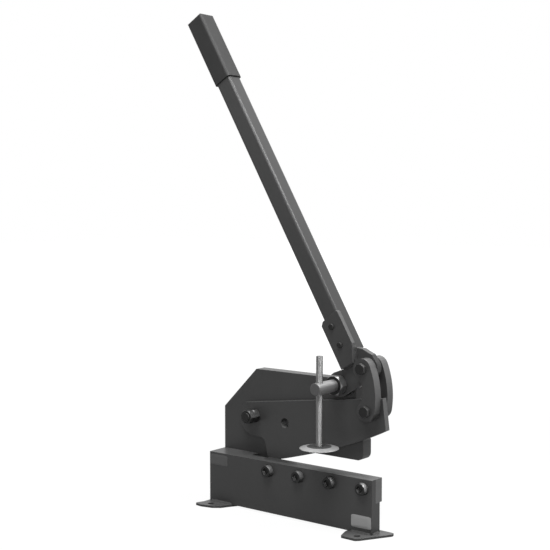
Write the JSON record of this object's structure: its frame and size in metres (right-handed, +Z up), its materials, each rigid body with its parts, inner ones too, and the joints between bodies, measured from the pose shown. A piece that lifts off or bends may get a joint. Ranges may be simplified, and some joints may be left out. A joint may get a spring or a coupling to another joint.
{
  "type": "bench lever shear",
  "caption": "Bench-mounted lever shear with a plate frame on feet, a link-driven pivoting blade arm, a long hand lever and a screw hold-down.",
  "frame": {"origin": "midway between the two front bench holes, at the underside of the feet", "axes": "+X along the blades to the open end of the throat, +Y to the back across the plates, +Z up"},
  "size_m": [0.4771, 0.1634, 0.9369],
  "materials": {
    "anthracite_paint": "satin",
    "black_fasteners": "satin",
    "blade_steel": "satin",
    "bright_steel": "satin",
    "black_grip": "matt"
  },
  "bodies": {
    "frame": {"base_plate": "anthracite_paint", "spacer_block": "anthracite_paint", "back_plate": "anthracite_paint", "left_foot": "anthracite_paint", "right_foot": "anthracite_paint", "lower_blade": "blade_steel", "blade_screws": "black_fasteners", "frame_screws": "black_fasteners", "arm_pivot_bolt": "black_fasteners", "arm_pivot_nuts": "black_fasteners", "holddown_bar": "bright_steel", "hub_nut": "bright_steel", "bar_rear_nut": "black_fasteners"},
    "blade_arm": {"blade_arm": "anthracite_paint"},
    "lever": {"lever_head": "anthracite_paint", "lever_strap": "anthracite_paint", "handle_tube": "anthracite_paint", "grip": "black_grip", "handle_bolts": "black_fasteners", "handle_nuts": "black_fasteners"},
    "links": {"near_link": "anthracite_paint", "far_link": "anthracite_paint", "upper_link_bolt": "black_fasteners", "upper_link_nut": "black_fasteners", "lower_link_bolt": "black_fasteners", "lower_link_nut": "black_fasteners", "link_spacers": "black_fasteners"},
    "hold_down": {"spindle": "bright_steel", "pressure_pad": "bright_steel"}
  },
  "joints": [
    {"name": "lever_pivot", "type": "hinge", "parent": "frame", "child": "lever", "pos_m": [0.0935, 0.05, 0.252], "axis": [0, 1, 0], "range_deg": [0, 68]},
    {"name": "blade_pivot", "type": "hinge", "parent": "frame", "child": "blade_arm", "pos_m": [-0.1, 0.05, 0.174], "axis": [0, 1, 0], "range_deg": [0, 17.3]},
    {"name": "link_pivot", "type": "hinge", "parent": "lever", "child": "links", "pos_m": [0.15394, 0.05, 0.28732], "axis": [0, 1, 0], "range_deg": [-68, 0]},
    {"name": "hold_down_slide", "type": "slide", "parent": "frame", "child": "hold_down", "axis": [0, 0, 1], "range_m": [-0.047, 0.085]}
  ],
  "couplings": [
    {"joint": "blade_pivot", "follows": "lever_pivot", "ratio": 0.2526},
    {"joint": "link_pivot", "follows": "lever_pivot", "ratio": -1}
  ]
}
